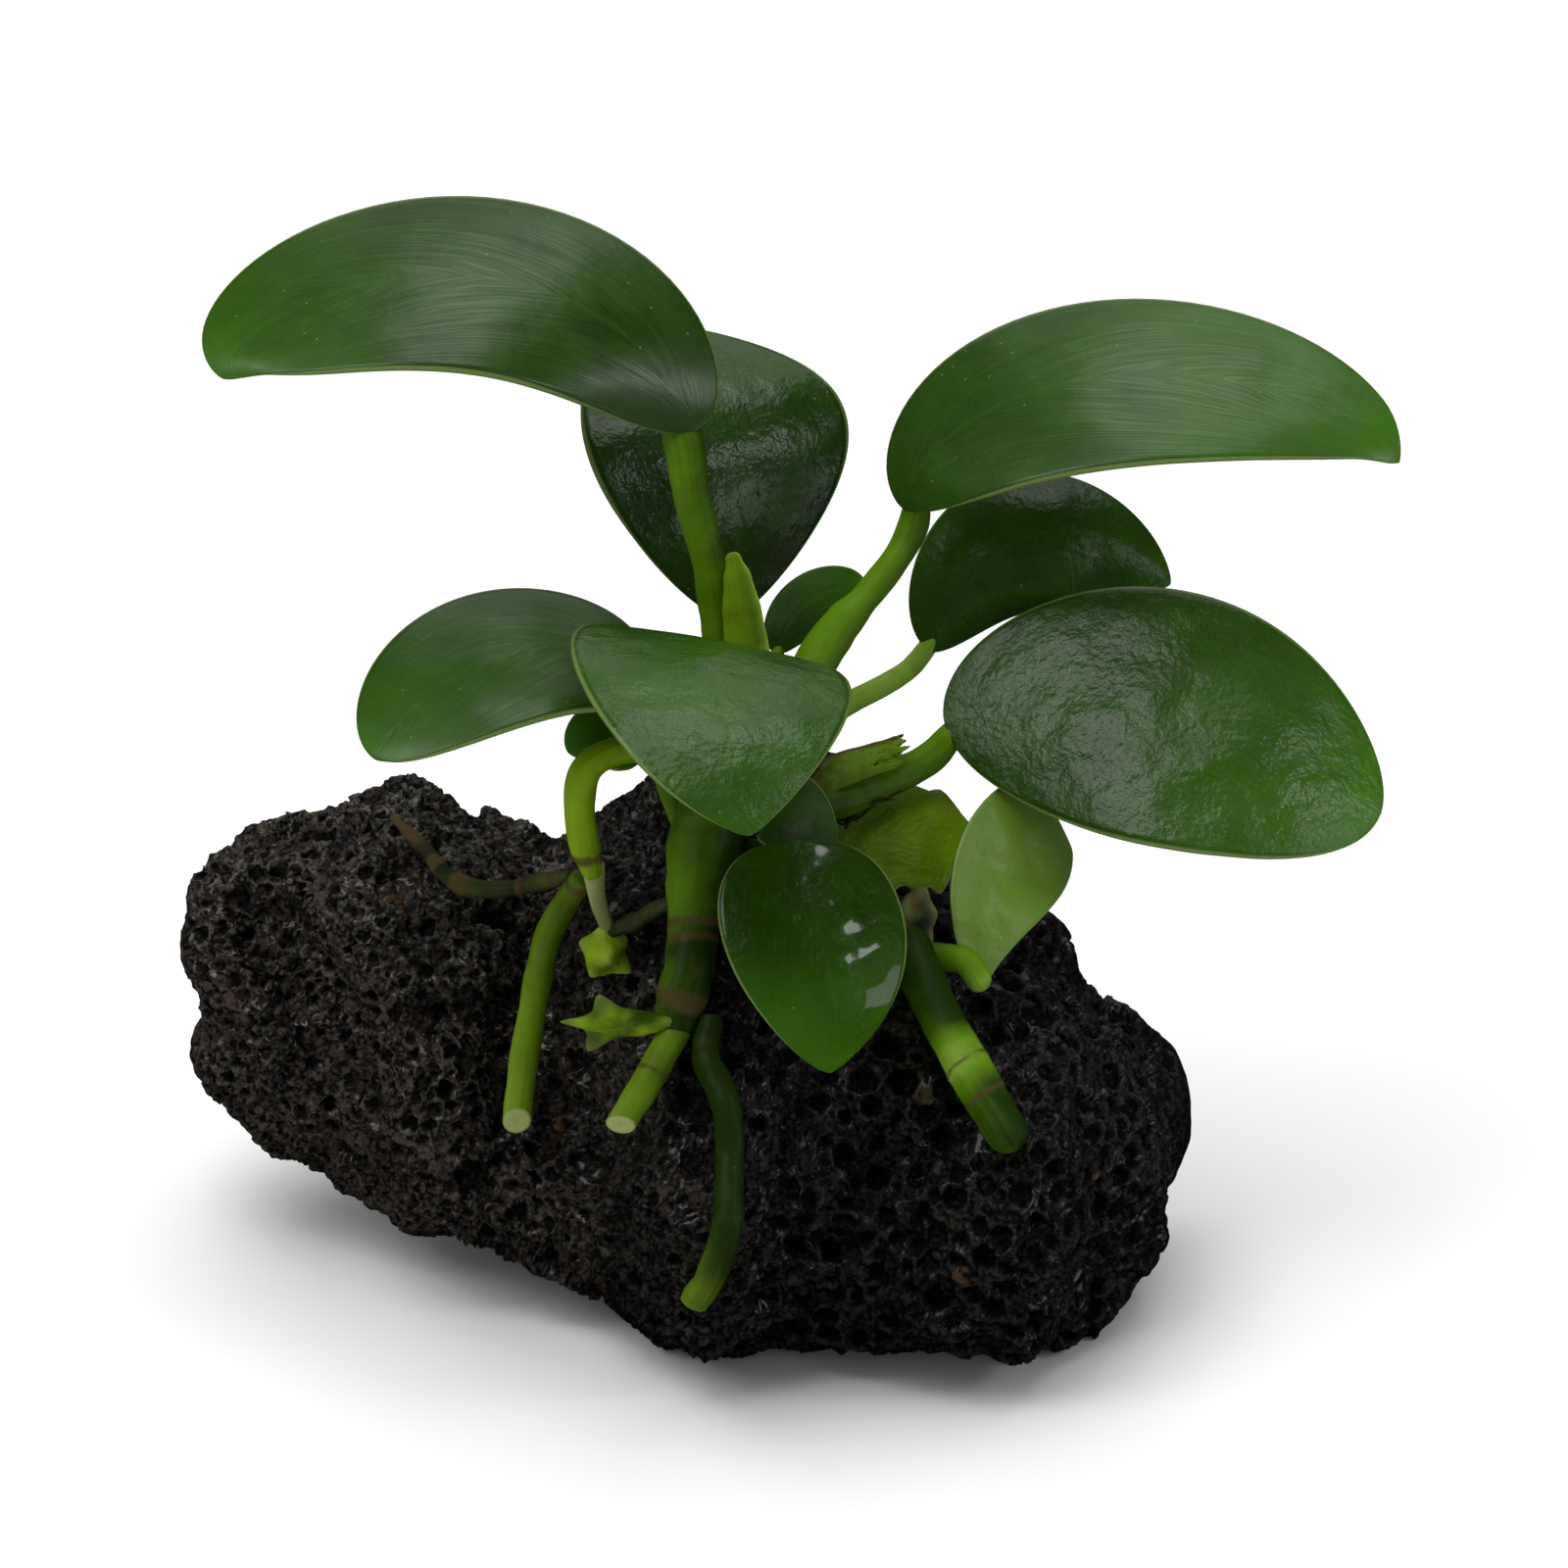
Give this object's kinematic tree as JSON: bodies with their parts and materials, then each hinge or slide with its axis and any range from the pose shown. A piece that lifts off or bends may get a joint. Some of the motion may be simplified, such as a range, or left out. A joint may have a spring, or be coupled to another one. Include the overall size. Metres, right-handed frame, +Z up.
{
  "type": "anubias plant on a lava stone",
  "caption": "Small broad-leaved water plant with thick rhizome, stalks and cut roots, growing on a porous black lava stone.",
  "frame": {"origin": "on the stone's flat foot, at floor level, under the middle of the object", "axes": "+X to the right in the picture along the stone's length, +Y away from the viewer, +Z up from the floor"},
  "size_m": [0.1195, 0.0731, 0.1101],
  "materials": {
    "stone": "rough porous black lava, damp in places",
    "leaf_dark": "waxy dark green leaf with a soft sheen",
    "leaf_green": "waxy mid green leaf with a soft sheen",
    "leaf_young": "thin yellow-green young leaf, satin",
    "stem_green": "smooth green stem, satin",
    "stem_light": "smooth light green shoot, satin",
    "sheath_yellow": "thin yellow-green sheath, satin",
    "root_green": "smooth green root, satin",
    "root_brown": "dull brown root"
  },
  "bodies": {
    "root": {"stone": "stone", "rhizome": "stem_green", "rhizome_right": "stem_green", "side_shoot": "stem_light", "sheath_centre": "sheath_yellow", "torn_sheath": "sheath_yellow", "root_left": "root_green", "root_front": "root_green", "root_brown": "root_brown", "cut_stub": "root_green", "bud": "stem_light", "bud_stalk": "stem_light", "bud_root": "root_brown", "star_bract": "stem_light", "leaf_upper_left": "leaf_dark", "leaf_upper_right": "leaf_dark", "leaf_back": "leaf_dark", "leaf_mid_right": "leaf_dark", "leaf_lower_right": "leaf_dark", "leaf_centre": "leaf_dark", "leaf_left": "leaf_dark", "leaf_front": "leaf_dark", "leaf_front_small": "leaf_green", "leaf_left_small": "leaf_green", "leaf_top_small": "leaf_green", "leaf_yellow": "leaf_young", "leaf_light": "leaf_young", "stalk_upper_left": "stem_green", "stalk_upper_right": "stem_green", "stalk_back": "stem_green", "stalk_mid_right": "stem_green", "stalk_lower_right": "stem_green", "stalk_centre": "stem_green", "stalk_left": "stem_green", "stalk_left_small": "stem_green", "stalk_front": "stem_green", "stalk_front_small": "stem_green", "stalk_yellow": "stem_green", "stalk_light": "stem_green", "stalk_top_small": "stem_green"}
  },
  "joints": []
}
